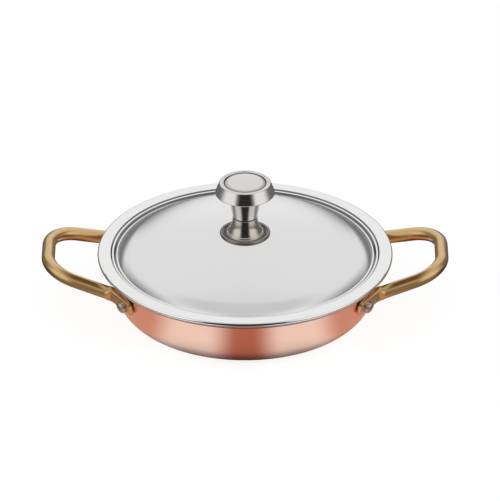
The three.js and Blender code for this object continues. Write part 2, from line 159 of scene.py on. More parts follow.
def turned(profile, steps, loop=False):
    # Surface of revolution: radius times the cosine and sine of the turn, at the profile's height. A point
    # on the axis is one pole. UV is the share of the turn, and the way along the profile in millimetres.
    points, normals = profile
    count = len(points)
    rows = np.arange(count if loop else count - 1)
    nextRows = (rows + 1) % count
    along = np.concatenate([[0], np.cumsum(np.hypot(*(points[nextRows] - points[rows]).T))])
    angle = np.arange(steps) * 2 * np.pi / steps
    around = np.stack([np.cos(angle), np.sin(angle), np.ones(steps)], 1)
    pole = points[:, 0] < onAxis
    keep = np.ones((count, steps), bool)
    keep[pole, 1:] = False
    index = (np.cumsum(keep) - 1).reshape(count, steps)
    near, far = index[rows], index[nextRows]
    quads = np.stack([near, np.roll(near, -1, 1), np.roll(far, -1, 1), far], 2)
    share = np.broadcast_to(np.arange(steps) / steps, near.shape)
    low, high = (np.broadcast_to(along[rows + k][:, None], near.shape) for k in (0, 1))
    sides = [(share, low), (share + 1 / steps, low), (share + 1 / steps, high), (share, high)]
    uv = np.stack([np.stack(pair, 2) for pair in sides], 2)
    faces, maps = [], []
    for picked, corners in [
        (~pole[rows] & ~pole[nextRows], [0, 1, 2, 3]),
        (pole[rows], [0, 2, 3]),
        (pole[nextRows], [0, 1, 2]),
    ]:
        faces += quads[picked][:, :, corners].reshape(-1, len(corners)).tolist()
        maps.append(uv[picked][:, :, corners].reshape(-1, 2))
    spread = lambda pairs: (pairs[:, None, [0, 0, 1]] * around)[keep]
    uv = np.concatenate(maps)
    return {"points": spread(points), "normals": spread(normals), "faces": faces, "uv": uv}


def swept(rings):
    # Tube through a row of rings, closed on a point at each end. UV is the share of the way round, and the
    # way along the middle in millimetres.
    count, sides = rings.shape[:2]
    middle = rings.mean(1)
    along = np.concatenate([[0], np.cumsum(np.linalg.norm(np.diff(middle, axis=0), axis=1))])
    index = np.arange(count * sides).reshape(count, sides)
    near, far = index[:-1], index[1:]
    quads = np.stack([near, far, np.roll(far, -1, 1), np.roll(near, -1, 1)], 2)
    share = np.broadcast_to(np.arange(sides) / sides, near.shape)
    low, high = (np.broadcast_to(part[:, None], near.shape) for part in (along[:-1], along[1:]))
    corners = [(share, low), (share, high), (share + 1 / sides, high), (share + 1 / sides, low)]
    uv = np.stack([np.stack(pair, 2) for pair in corners], 2).reshape(-1, 2)
    first, last = count * sides, count * sides + 1
    fans = [
        np.stack([np.full(sides, first), index[0], np.roll(index[0], -1)], 1),
        np.stack([np.full(sides, last), np.roll(index[-1], -1), index[-1]], 1),
    ]
    fanTurn = np.linspace(0, 1, 3 * sides)
    fanUv = [np.stack([fanTurn, np.full(3 * sides, end)], 1) for end in along[[0, -1]]]
    return {
        "points": np.concatenate([rings.reshape(-1, 3), middle[[0, -1]]]),
        "faces": quads.reshape(-1, 4).tolist() + np.concatenate(fans).tolist(),
        "uv": np.concatenate([uv, *fanUv]),
    }


def newPiece(name, shape, material, body, node):
    mesh = bpy.data.meshes.new(name)
    mesh.from_pydata((shape["points"] * mm).tolist(), [], shape["faces"])
    mesh.uv_layers.new(name="skin").data.foreach_set("uv", shape["uv"].ravel())
    mesh.shade_smooth()
    if "normals" in shape:
        mesh.normals_split_custom_set_from_vertices(shape["normals"].tolist())
    mesh.materials.append(material)
    piece = bpy.data.objects.new(name, mesh)
    bpy.context.scene.collection.objects.link(piece)
    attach(piece, body)
    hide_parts(node)
    return piece


# Materials: what all the metals share, then each one. Sizes of the pattern are in millimetres
finish = {
    "lineDetail": 3.0, "lineRoughness": 0.6, "lineSpread": (0.3, 0.7), "cloudDetail": 2.0, "ringEdge": 0.3,
    "grainTurn": 0.25, "coatRoughness": 0.25,
}


def workedLines(tree, look):
    # Fine lines left by the tool. Round a turned piece, noise changes every lineGap along the profile and
    # only slowly, over lineDrift, across the piece. Along a rod it changes as fast round the girth instead.
    place = addNode(tree, "ShaderNodeTexCoord")
    skin = addNode(tree, "ShaderNodeSeparateXYZ", {"Vector": place.outputs["UV"]})
    spot = addNode(tree, "ShaderNodeVectorMath", {
        0: place.outputs["Object"], 1: (1 / (look["lineDrift"] * mm),) * 3}, operation="MULTIPLY")
    way = skin.outputs["X" if "girth" in look else "Y"]
    noise = addNode(tree, "ShaderNodeTexNoise", {
        "Vector": spot.outputs["Vector"], "Scale": 1.0,
        "W": calc(tree, "MULTIPLY", way, look.get("girth", 1) / look["lineGap"]),
        "Detail": finish["lineDetail"], "Roughness": finish["lineRoughness"]}, noise_dimensions="4D")
    return noise.outputs["Fac"]


def radiusBand(tree, start, end):  # smooth step from 0 to 1 over a stretch of the radius, in millimetres
    place = addNode(tree, "ShaderNodeTexCoord")
    flat = addNode(tree, "ShaderNodeVectorMath", {
        0: place.outputs["Object"], 1: (1 / mm, 1 / mm, 0.0)}, operation="MULTIPLY")
    radius = addNode(tree, "ShaderNodeVectorMath", {0: flat.outputs["Vector"]}, operation="LENGTH")
    return ease(tree, radius.outputs["Value"], start, end)


def metal(look):
    # Worked metal: two tones mixed by broad clouds, and fine lines in the roughness and the bump. A turned
    # piece can have a middle with its own tone and roughness, and rings of another tone between two radii.
    # Both carry painted shade on the pieces below: the rings always, the middle on the knob's foot and
    # rosette.
    material, tree = newMaterial(look["name"])
    lines = workedLines(tree, look)
    place = addNode(tree, "ShaderNodeTexCoord")
    clouds = addNode(tree, "ShaderNodeTexNoise", {
        "Vector": place.outputs["Object"], "Scale": 1 / (look["cloud"] * mm),
        "Detail": finish["cloudDetail"]})
    tone = mixed(tree, clouds.outputs["Fac"], look["colour"], look["second"])
    rough = addNode(tree, "ShaderNodeMapRange", {
        "Value": lines, "From Min": finish["lineSpread"][0], "From Max": finish["lineSpread"][1],
        "To Min": look["roughness"][0], "To Max": look["roughness"][1]}).outputs["Result"]
    # middle: painted shade in the knob's joint and dish, the lid's own satin finish otherwise
    if "middle" in look:
        start, end, shade, softness = look["middle"]
        outer = radiusBand(tree, start, end)
        tone = mixed(tree, outer, shade, tone)
        rough = addNode(tree, "ShaderNodeMix", {
            "Factor": outer, "A": softness, "B": rough}).outputs["Result"]
    # rings: painted shade, a darker tone between two radii
    for start, end, shade in look.get("rings", []):
        edge = finish["ringEdge"]
        beyond = radiusBand(tree, end - edge, end)
        inside = calc(tree, "SUBTRACT", radiusBand(tree, start, start + edge), beyond)
        tone = mixed(tree, inside, tone, shade)
    bump = addNode(tree, "ShaderNodeBump", {
        "Height": lines, "Strength": look["bump"], "Distance": look["lineDepth"] * mm})
    tangent = addNode(tree, "ShaderNodeTangent", direction_type="UV_MAP", uv_map="skin")
    shader = addNode(tree, "ShaderNodeBsdfPrincipled", {
        "Base Color": tone, "Metallic": look.get("metallic", 1.0), "Roughness": rough,
        "Normal": bump.outputs["Normal"], "Tangent": tangent.outputs["Tangent"],
        "Anisotropic": look.get("anisotropy", 0.0), "Anisotropic Rotation": finish["grainTurn"],
        "Coat Weight": look.get("coat", 0.0), "Coat Roughness": finish["coatRoughness"]})
    addNode(tree, "ShaderNodeOutputMaterial", {"Surface": shader.outputs["BSDF"]})
    return material


# Copper sheet, brushed round the pan and lacquered: soft upright bands of light, warm in the dark
brushedCopper = metal({
    "name": "brushedCopperLacquered", "colour": "f5cdbb", "second": "f3c6b2", "cloud": 45,
    "lineGap": 0.5, "lineDrift": 60, "lineDepth": 0.004, "bump": 0.2, "roughness": (0.2, 0.26)})
# Aluminium, sheared: a dull pale edge
shearedAluminium = metal({
    "name": "shearedAluminium", "colour": "d6d3d6", "second": "cbc8cc", "cloud": 12,
    "lineGap": 0.3, "lineDrift": 20, "lineDepth": 0.01, "bump": 0.3, "roughness": (0.35, 0.5),
    "metallic": 0.35})
# Stainless, satin inside the pan: soft grey with brush lines, drawn coarser than real ones to show
satinSteel = metal({
    "name": "satinStainless", "colour": "dfdddb", "second": "d6d4d2", "cloud": 40,
    "lineGap": 0.9, "lineDrift": 50, "lineDepth": 0.008, "bump": 0.35, "roughness": (0.24, 0.4),
    "anisotropy": 0.4})
# Stainless, deep drawn: a satin dome, a polished flange, and painted shade: dark rings on the step's walls
buffedSteel = metal({
    "name": "buffedStainless", "colour": "f3f2f2", "second": "efeeee", "cloud": 60,
    "lineGap": 0.6, "lineDrift": 90, "lineDepth": 0.003, "bump": 0.1, "roughness": (0.1, 0.14),
    "middle": (77, 80, "e4e3e3", 0.17), "rings": [(80.2, 82.1, "6f6e6e"), (82.8, 84.1, "7b7a7a")]})
# Stainless, turned and polished: hard bands of light and dark, and painted shade: a grey band at the
# edge of the disc and a dark line in the groove round it, which also darken the head under its brim
polishedSteel = metal({
    "name": "turnedPolishedStainless", "colour": "dedddc", "second": "d8d7d5", "cloud": 14,
    "lineGap": 0.35, "lineDrift": 25, "lineDepth": 0.003, "bump": 0.15, "roughness": (0.1, 0.15),
    "rings": [(10.9, 12.7, "b3b2b0"), (12.4, 13.5, "4b4a48")]})
# Stainless, turned and only brushed: the same bands, greyer and warmer, and painted shade, black, in the
# joint at its top
turnedSteel = metal({
    "name": "turnedStainless", "colour": "c9c4bd", "second": "c0bbb3", "cloud": 14,
    "lineGap": 0.35, "lineDrift": 25, "lineDepth": 0.004, "bump": 0.2, "roughness": (0.13, 0.2),
    "middle": (7.65, 7.75, "1f1c19", 0.4)})
# Stainless, spun and left dull: brownish grey, with little shine, and painted shade that darkens its dish
dullSteel = metal({
    "name": "spunStainless", "colour": "8d867e", "second": "7c756d", "cloud": 9,
    "lineGap": 0.35, "lineDrift": 20, "lineDepth": 0.005, "bump": 0.25, "roughness": (0.2, 0.3),
    "middle": (13.0, 14.0, "48433e", 0.3)})
# Brass rod, drawn and satin, under clear lacquer: cream where lit, olive brown in the dark
satinBrass = metal({
    "name": "satinBrassRod", "colour": "dcb87e", "second": "cfa76a", "cloud": 18, "girth": 24.5,
    "lineGap": 0.5, "lineDrift": 30, "lineDepth": 0.004, "bump": 0.15, "roughness": (0.25, 0.32),
    "coat": 1.0})
# Steel rivet, upset cold: dull, faintly warm grey
rivetSteel = metal({
    "name": "coldHeadedSteel", "colour": "c8bfbd", "second": "bab1af", "cloud": 3,
    "lineGap": 0.4, "lineDrift": 4, "lineDepth": 0.005, "bump": 0.2, "roughness": (0.26, 0.36)})
print("materials made")

# Pan: three layers of one clad sheet
pan = {
    "lip": 2.4, "flare": 3.0, "lean": 16.7, "corner": 16.0, "edge": 0.12, "steps": 240,
    "layers": [
        ("copperShell", "copper_shell", "copper", brushedCopper, 0.0, 0.5),
        ("aluminiumCore", "aluminium_core", "core_aluminium", shearedAluminium, 0.55, 1.35),
        ("steelLiner", "steel_liner", "liner_steel", satinSteel, 1.4, 1.9),
    ],
}
rimRadius = boxOf("copper_shell")[1][0]
panHeight = boxOf("steel_liner")[1][2]
lean = np.radians(pan["lean"])
rimUnder = panHeight - pan["layers"][-1][-1]
wallTop = rimRadius - pan["lip"]


def wallRadius(height):  # of the leaning wall's outside, as if it ran on straight
    return wallTop - (rimUnder - height) * np.tan(lean)


panLine = [
    (0, 0, 0),
    (wallRadius(0), 0, pan["corner"]),
    (wallTop, rimUnder, pan["flare"]),
    (rimRadius, rimUnder, pan["edge"]),
]
for name, node, slot, material, near, far in pan["layers"]:
    outline = np.concatenate([moved(panLine, near), moved(panLine, far)[::-1]])
    newPiece(name, turned(rounded(outline), pan["steps"]), material, "pan", node)
print("pan made")

# Lid: seat, dome, shoulder, groove, ledge, flange and hem, from the hole outwards
lid = {
    "sheet": 0.8, "hole": 2.8, "seat": 13.0, "crown": 10.7, "dome": 309.0, "domeSteps": 24, "flange": 8.0,
    "flangeFillet": 1.2, "ledgeRun": 1.05, "ledgeDrop": 0.8, "ledgeWidth": 1.2, "ledgeFall": 0.15,
    "ledgeFillet": 0.9, "crease": 0.3, "stepRun": 1.85, "groove": 2.3, "grooveFillet": 1.0,
    "shoulderRun": 4.3, "shoulderFillet": 20.0, "shoulderStart": 6.0, "hemHeight": 2.5, "hemReach": 3.2,
    "edge": 0.15, "steps": 240,
}
lidRadius = boxOf("lid_plate")[1][0]
flangeTop = boxOf("lid_plate")[1][2] - lid["crown"]
flangeInner = lidRadius - lid["flange"]
ledgeOuter = flangeInner - lid["ledgeRun"]
ledgeInner = ledgeOuter - lid["ledgeWidth"]
grooveRadius = ledgeInner - lid["stepRun"]
domeEdge = grooveRadius - lid["shoulderRun"]


def domeHeight(radius):  # crown of a sphere, level with the seat where the seat ends
    drop = lambda r: lid["dome"] - np.sqrt(lid["dome"] ** 2 - r ** 2)
    return lid["crown"] + drop(lid["seat"]) - drop(radius)


domeRun = np.linspace(lid["seat"], domeEdge - lid["shoulderStart"], lid["domeSteps"])
lidLine = np.array([
    (lid["hole"], lid["crown"], lid["edge"]),
    *[(r, domeHeight(r), 0) for r in domeRun],
    (domeEdge, domeHeight(domeEdge), lid["shoulderFillet"]),
    (grooveRadius, -lid["groove"], lid["grooveFillet"]),
    (ledgeInner, -lid["ledgeDrop"] - lid["ledgeFall"], lid["ledgeFillet"]),
    (ledgeOuter, -lid["ledgeDrop"], lid["crease"]),
    (flangeInner, 0, lid["flangeFillet"]),
    (lidRadius, 0, lid["hemHeight"] / 2),
    (lidRadius, -lid["hemHeight"], lid["hemHeight"] / 2),
    (lidRadius - lid["hemReach"], -lid["hemHeight"], lid["edge"]),
]) + (0, flangeTop, 0)
lidOutline = np.concatenate([moved(lidLine, -lid["sheet"]), lidLine[::-1]])
lidShape = turned(rounded(lidOutline, True), lid["steps"], True)
newPiece("lidPlate", lidShape, buffedSteel, "lid", "lid_plate")
print("lid made")

# Knob: rosette, foot, head, plain disc, screw and washer, each turned about the same axis
knob = {
    "bore": 2.8, "crease": 0.12, "steps": 128,
    "rosette": {"rim": 2.2, "tuck": 0.85, "side": 2.2, "floor": 2.0, "seat": 13.0},
    "foot": {"bead": 2.1, "waist": 7.85, "flare": 5.25, "jointGap": 0.8, "jointDepth": 1.0},
    "head": {"waist": 7.85, "boreTop": 12.3, "neckWaist": 8.8, "neck": 10.7, "neckHeight": 13.0,
             "widest": 16.3, "edge": 0.8, "top": 15.9, "round": 0.7, "ring": 1.7, "ringStep": 0.3,
             "recess": 13.0, "recessBevel": 0.3, "recessDepth": 1.05},
    "disc": {"rim": 0.4, "roll": 2.0, "rollRise": 0.5},
    "screw": {"shank": 2.5, "headHeight": 2.6, "point": 0.6},
}


def knobPiece(name, node, material, corners, loop=False):
    base = boxOf(node)[0][2]
    profile = rounded(np.array(corners) + (0, base, 0), loop)
    return newPiece(name, turned(profile, knob["steps"], loop), material, "lid", node)


def sizeOf(node):  # radius and height of a turned node
    low, high = boxOf(node)
    return high[0], high[2] - low[2]


def makeRosette():
    part, crease, bore = knob["rosette"], knob["crease"], knob["bore"]
    radius, height = sizeOf("knob_rosette")
    inner = radius - part["rim"]
    crest = (radius - part["rim"] / 2, height)
    return knobPiece("knobRosette", "knob_rosette", dullSteel, [
        (bore, 0, crease), (part["seat"], 0, crease),
        *curve((part["seat"], 0), (radius, part["tuck"]), (radius, part["side"])),
        *curve((radius, part["side"]), (radius, height), crest),
        *curve(crest, (inner, height), (inner, part["floor"]))[:-1],
        (inner, part["floor"], crease), (bore, part["floor"], crease)], True)


def makeFoot():
    part, crease, bore = knob["foot"], knob["crease"], knob["bore"]
    radius, height = sizeOf("knob_foot")
    bead, waist = part["bead"], part["waist"]
    spigot, shelf = waist - part["jointDepth"], height - part["jointGap"]
    tuck = (radius - bead / 3, bead)
    return knobPiece("knobFoot", "knob_foot", turnedSteel, [
        (bore, 0, crease), (radius - bead / 2, 0, 0),
        *curve((radius - bead / 2, 0), (radius, 0), (radius, bead / 2)),
        *curve((radius, bead / 2), (radius, bead), tuck)[:-1],
        (*tuck, crease),
        *curve(tuck, (waist, part["flare"]), (waist, shelf), steps=16)[:-1],
        (waist, shelf, crease), (spigot, shelf, crease),
        (spigot, height, crease), (bore, height, crease)], True)


def makeHead():
    part, crease, bore = knob["head"], knob["crease"], knob["bore"]
    radius, height = sizeOf("knob_head")
    under = part["widest"] - part["edge"]
    neck = (part["neck"], part["neckHeight"])
    brim = (radius - part["edge"], under)
    shoulder = (part["top"] + part["round"] / 3, height - part["round"])
    ledge, floor = height - part["ringStep"], height - part["recessDepth"]
    return knobPiece("knobHead", "knob_head", polishedSteel, [
        (0, part["boreTop"], 0), (bore, part["boreTop"], crease), (bore, 0, crease),
        (part["waist"], 0, crease),
        *curve((part["waist"], 0), (part["neckWaist"], part["neckHeight"] / 2), neck, steps=14),
        *curve(neck, (part["neck"] + part["edge"], under), brim, steps=14),
        *curve(brim, (radius, under), (radius, part["widest"]))[:-1],
        (radius, part["widest"], crease),
        (*shoulder, 0),
        *curve(shoulder, (part["top"], height), (part["top"] - part["round"], height)),
        (part["top"] - part["ring"], height, crease), (part["top"] - part["ring"], ledge, crease),
        (part["recess"] + part["recessBevel"], ledge, crease),
        (part["recess"], floor, crease), (0, floor, 0)])


def makeDisc():
    radius, height = sizeOf("knob_top_disc")
    part, crease = knob["disc"], knob["crease"]
    rim, rollTop = part["rim"], part["rim"] + part["rollRise"]
    roll = (radius - part["roll"], rollTop)
    return knobPiece("knobTopDisc", "knob_top_disc", polishedSteel, [
        (0, 0, 0), (radius, 0, crease), (radius, rim, crease),
        *curve((radius, rim), (radius - rim, rollTop), roll),
        *curve(roll, (radius / 2, height), (0, height), steps=24)])


def makeScrew():
    part, crease = knob["screw"], knob["crease"]
    radius, length = sizeOf("knob_screw")
    head, shank, point = part["headHeight"], part["shank"], part["point"]
    return knobPiece("knobScrew", "knob_screw", rivetSteel, [
        (0, 0, 0), (radius / 2, 0, 0),
        *curve((radius / 2, 0), (radius, 0), (radius, head * 2 / 3)),
        (radius, head, crease), (shank, head, crease), (shank, length - point, crease),
        (shank - point, length, crease), (0, length, 0)])


def makeWasher():
    radius, height = sizeOf("screw_washer")
    knobPiece("screwWasher", "screw_washer", rivetSteel, [
        (knob["bore"], 0, knob["crease"]), (radius, 0, knob["crease"]),
        (radius, height, knob["crease"]), (knob["bore"], height, knob["crease"])], True)


for piece in [makeRosette(), makeFoot(), makeHead(), makeDisc(), makeScrew()]:
    piece.visible_glossy = False  # the picture's lid shows no image of the knob
makeWasher()
print("knob made")

# Handles: a round rod bent to a loop, its ends pressed flat against the wall
handle = {
    "rod": 4.15, "barOut": 32.5, "barHeight": 38.3, "barHalfWidth": 26.2, "barFillet": 23.0,
    "lugThick": 2.2, "lugRootThick": 4.6, "lugWidth": 11.0, "lugTurn": 34.5, "lugSlope": 9.0, "lugEnd": 8.5,
    "lugCorner": 3.0, "lugBend": 4.0, "lugSquareness": 6.0, "press": 3.5, "endRound": 0.5, "tipLimit": 0.95,
    "rivetBack": 5.8, "rivetHeight": 24.7, "rivetDrop": 1.6, "rivetRun": 10.7, "offWall": 0.3, "sides": 48,
    "barSteps": 6, "cornerSteps": 30, "legSteps": 40, "bendSteps": 16, "lugSteps": 14,
}
lugSlope = np.radians(handle["lugSlope"])


def unit(vector):
    return vector / np.linalg.norm(vector, axis=-1, keepdims=True)


def wallNormal(azimuth):  # outward, and down by the wall's lean
    level = np.stack([np.cos(azimuth), np.sin(azimuth), 0 * azimuth], -1) * np.cos(lean)
    return level - (0, 0, np.sin(lean))


def wallPlace(azimuth, height, off):  # a point of the wall at that azimuth and height, moved off it
    radius = wallRadius(height)
    foot = np.stack([radius * np.cos(azimuth), radius * np.sin(azimuth), height + 0 * azimuth], -1)
    return foot + wallNormal(azimuth) * off


def bent(a, b, c, radius, steps):  # arc of that radius in the corner at b, between the lines to a and to c
    back, ahead = unit(a - b), unit(c - b)
    half = np.arccos(back @ ahead) / 2
    centre = b + unit(back + ahead) * radius / np.sin(half)
    start = b + back * radius / np.tan(half) - centre
    angle = np.linspace(0, np.pi - 2 * half, steps)[:, None]
    return centre + start * np.cos(angle) - back * radius * np.sin(angle)


# The lug is a flat wedge that the leg's line runs into, with its back against the round wall at the rivet
lugTurn = np.array(np.radians(handle["lugTurn"]))
lugLength = handle["rivetRun"] + handle["lugEnd"]
rivetHeight = handle["rivetHeight"]


def lugHalf(along):  # half the thickness, so far along the lug
    return (handle["lugRootThick"] + (handle["lugThick"] - handle["lugRootThick"]) * along / lugLength) / 2


wallDip = handle["rivetBack"] ** 2 / (2 * wallRadius(rivetHeight))
lugOff = handle["offWall"] - wallDip + lugHalf(handle["rivetRun"])
lugNormal = wallNormal(lugTurn)
lugLevel = np.array([-np.sin(lugTurn), np.cos(lugTurn), 0])
lugUp = np.cross(lugNormal, lugLevel)
lugLine = lugLevel * np.cos(lugSlope) - lugUp * np.sin(lugSlope)
rivetSeat = wallPlace(lugTurn, rivetHeight, 0) - lugLevel * handle["rivetBack"]
root = rivetSeat + lugNormal * lugOff + lugUp * handle["rivetDrop"] - lugLine * handle["rivetRun"]
barCorner = np.array([rimRadius + handle["barOut"], handle["barHalfWidth"], handle["barHeight"]])


def handleRings():
    # Half a loop as sections carried along its centre line: a circle on the rod, which goes over to a
    # rounded rectangle (a superellipse of growing power) where the rod is pressed, and narrows round the
    # lug's end
    flat = lugLength - handle["lugCorner"]
    middle = barCorner * (1, 0, 1)
    corner = bent(middle, barCorner, root, handle["barFillet"], handle["cornerSteps"])
    turnIn = bent(barCorner, root, root + lugLine, handle["lugBend"], handle["bendSteps"])
    bar = np.linspace(middle, corner[0], handle["barSteps"])[:-1]
    leg = np.linspace(corner[-1], turnIn[0], handle["legSteps"])[1:-1]
    bendEnd = np.linalg.norm(turnIn[-1] - root)
    nose = np.sin(np.linspace(0, np.pi / 2, handle["lugSteps"])[1:]) * handle["lugCorner"]
    run = np.concatenate([np.linspace(bendEnd, flat, handle["lugSteps"])[1:], flat + nose])
    plate = root + lugLine * run[:, None]
    path = np.concatenate([bar, corner, leg, turnIn, plate])
    heading = unit(np.gradient(path, axis=0))
    heading[0] = (0, 1, 0)
    onLug = len(path) - len(plate)
    normal = np.empty_like(path)
    normal[onLug:] = carried = lugNormal
    for i in range(onLug - 1, -1, -1):
        carried = unit(carried - heading[i] * (carried @ heading[i]))
        normal[i] = carried
    normal = unit(normal - heading * np.sum(normal * heading, 1)[:, None])
    across = np.cross(heading, normal)
    bendStart = len(bar) + len(corner) + len(leg)
    toBend = np.linalg.norm(path - path[bendStart], axis=1)
    share = np.clip(1 - toBend / handle["press"], 0, 1)
    share[bendStart:] = 1
    share = share ** 2 * (3 - 2 * share)
    past = np.zeros(len(path))
    past[-len(nose):] = nose
    trim = handle["lugCorner"] - np.sqrt(np.maximum(handle["lugCorner"] ** 2 - past ** 2, 0))
    tip = (past - handle["lugCorner"] + handle["endRound"]) / handle["endRound"]
    tip = np.clip(tip, 0, handle["tipLimit"])
    wide = handle["rod"] + (handle["lugWidth"] / 2 - handle["rod"]) * share - trim
    along = np.zeros(len(path))
    along[onLug:] = run
    thick = handle["rod"] + (lugHalf(along) - handle["rod"]) * share
    thick *= np.sqrt(1 - tip ** 2)
    power = 2 / (2 + (handle["lugSquareness"] - 2) * share)
    angle = np.arange(handle["sides"]) * 2 * np.pi / handle["sides"]
    bulge = lambda wave: np.sign(wave) * np.abs(wave) ** power[:, None]
    outward = (thick[:, None] * bulge(np.cos(angle)))[:, :, None] * normal[:, None]
    sideways = (wide[:, None] * bulge(np.sin(angle)))[:, :, None] * across[:, None]
    return path[:, None] + outward + sideways


half = handleRings()
rings = np.concatenate([half[:0:-1] * (1, -1, 1), half])
loop = swept(rings)
for name, node, way in [("handleRight", "handle_right", 1), ("handleLeft", "handle_left", -1)]:
    placed = {**loop, "points": loop["points"] * (way, way, 1)}
    newPiece(name, placed, satinBrass, "pan", node)
print("handles made")

# Rivets: a domed head on the lug, a low button inside the pan
rivet = {
    "shank": 2.0, "head": 3.7, "headHeight": 2.9, "headSink": 0.15, "headSide": 0.4, "button": 4.2,
    "buttonHeight": 1.2, "buttonGap": 0.25, "crease": 0.12, "steps": 64,
}


def makeRivets():
    headSeat = lugOff + lugHalf(handle["rivetRun"]) - rivet["headSink"]
    buttonSeat = -(pan["layers"][-1][-1] + rivet["buttonGap"])
    floor, top = buttonSeat - rivet["buttonHeight"], headSeat + rivet["headHeight"]
    side = headSeat + rivet["headHeight"] * rivet["headSide"]
    shape = turned(rounded([
        (0, floor, 0),
        *curve((0, floor), (rivet["button"], floor), (rivet["button"], buttonSeat))[:-1],
        (rivet["button"], buttonSeat, rivet["crease"]), (rivet["shank"], buttonSeat, rivet["crease"]),
        (rivet["shank"], headSeat, rivet["crease"]), (rivet["head"], headSeat, rivet["crease"]),
        (rivet["head"], side, 0),
        *curve((rivet["head"], side), (rivet["head"], top), (0, top), steps=14)]), rivet["steps"])
    for name, node, wayX, wayY in [
        ("rivetRightBack", "rivet_right_back", 1, 1),
        ("rivetLeftBack", "rivet_left_back", -1, 1),
        ("rivetLeftFront", "rivet_left_front", -1, -1),
        ("rivetRightFront", "rivet_right_front", 1, -1),
    ]:
        mirror = np.array([wayX, wayY, 1])
        frameAt = np.stack([lugLevel * wayX * wayY, lugUp, lugNormal]) * mirror
        placed = {
            **shape, "points": shape["points"] @ frameAt + rivetSeat * mirror,
            "normals": shape["normals"] @ frameAt}
        newPiece(name, placed, rivetSteel, "pan", node)


makeRivets()
print("rivets made")

# Camera: a long lens, from the front and above
view = {
    "elevation": 28.94, "distance": 3.119, "clipEnd": 20,
    "focalPixels": 5000, "framePixels": 501, "shiftPixels": (4.95, 0.39),
}


def makeCamera():
    camera = bpy.data.cameras.new("camera")
    camera.lens = view["focalPixels"] * camera.sensor_width / view["framePixels"]
    camera.shift_x, camera.shift_y = (pixels / view["framePixels"] for pixels in view["shiftPixels"])
    camera.clip_end = view["clipEnd"]
    tilt = np.radians(view["elevation"])
    away, up = view["distance"] * np.cos(tilt), view["distance"] * np.sin(tilt)
    placed = bpy.data.objects.new("camera", camera)
    placed.location = (0, -away, flangeTop * mm + up)
    placed.rotation_euler = (np.pi / 2 - tilt, 0, 0)
    bpy.context.scene.collection.objects.link(placed)
    bpy.context.scene.camera = placed


# Studio: a pale table with two soft lamps, inside a light tent that only the metal sees
studio = {
    "floorSize": 8.0, "floorColour": "959595", "floorGlow": 0.86, "worldGlow": 0.35, "lampAzimuth": 66.0,
    "lampDistance": 1.3, "lampSize": (1.9, 1.5), "lampHeight": 0.75, "lampLevel": 1.0,
}


def stageMesh(name, points, faces, material):
    mesh = bpy.data.meshes.new(name)
    mesh.from_pydata(points, [], faces)
    mesh.materials.append(material)
    placed = bpy.data.objects.new(name, mesh)
    bpy.context.scene.collection.objects.link(placed)
    return placed


def onlyForMetal(card):
    card.visible_camera = False
    card.visible_diffuse = False
    card.visible_shadow = False


def objectPlace(tree):  # x without its sign, y, z, and the azimuth in degrees from the camera's side
    place = addNode(tree, "ShaderNodeTexCoord")
    spot = addNode(tree, "ShaderNodeSeparateXYZ", {"Vector": place.outputs["Object"]})
    across = calc(tree, "ABSOLUTE", spot.outputs["X"])
    toward = calc(tree, "MULTIPLY", spot.outputs["Y"], -1.0)
    turn = calc(tree, "DEGREES", calc(tree, "ARCTAN2", across, toward))
    return across, spot.outputs["Y"], spot.outputs["Z"], turn


def seenDirectly(tree):  # 1 for rays from the camera, from metal and through glass
    path = addNode(tree, "ShaderNodeLightPath")
    either = calc(tree, "MAXIMUM", path.outputs["Is Camera Ray"], path.outputs["Is Glossy Ray"])
    return calc(tree, "MAXIMUM", either, path.outputs["Is Transmission Ray"])


def makeFloor():
    material, tree = newMaterial("paleTable")
    matt = addNode(tree, "ShaderNodeBsdfDiffuse", {"Color": linear(studio["floorColour"])})
    level = calc(tree, "MULTIPLY", seenDirectly(tree), studio["floorGlow"])
    glow = addNode(tree, "ShaderNodeEmission", {"Strength": level})
    both = addNode(tree, "ShaderNodeAddShader", {0: matt.outputs["BSDF"], 1: glow.outputs["Emission"]})
    addNode(tree, "ShaderNodeOutputMaterial", {"Surface": both.outputs["Shader"]})
    side = studio["floorSize"] / 2
    corners = [(-side, -side, 0), (side, -side, 0), (side, side, 0), (-side, side, 0)]
    stageMesh("table", corners, [(0, 1, 2, 3)], material)


# Card round the pan on the table: radii in metres, turns in degrees from the camera's side
ring = {
    "inner": 0.05, "outer": 0.98, "height": 0.0004, "steps": 72,
    "front": "b67a68", "lit": "fbfbfb", "litStart": (4, 20), "side": "d3a795", "sideStart": (36, 56),
    "rear": "f6f0ec", "rearStart": (112, 128), "rearEnd": (146, 168),
    "brown": "553a2b", "brownLit": "918478", "brownFrom": (0.115, 0.135),
    "handleStart": (62, 72), "handleFrom": (0.093, 0.103),
    "dark": "3a3634", "darkLit": "b0a89c", "besideStart": (20, 40), "besideEnd": (75, 92),
    "far": "747474", "farStart": (85, 110), "farFrom": (0.16, 0.3),
    "shade": 0.2, "shadeEnd": (0.072, 0.094), "shadeTurn": (25, 70), "shadeShift": 0.012,
}


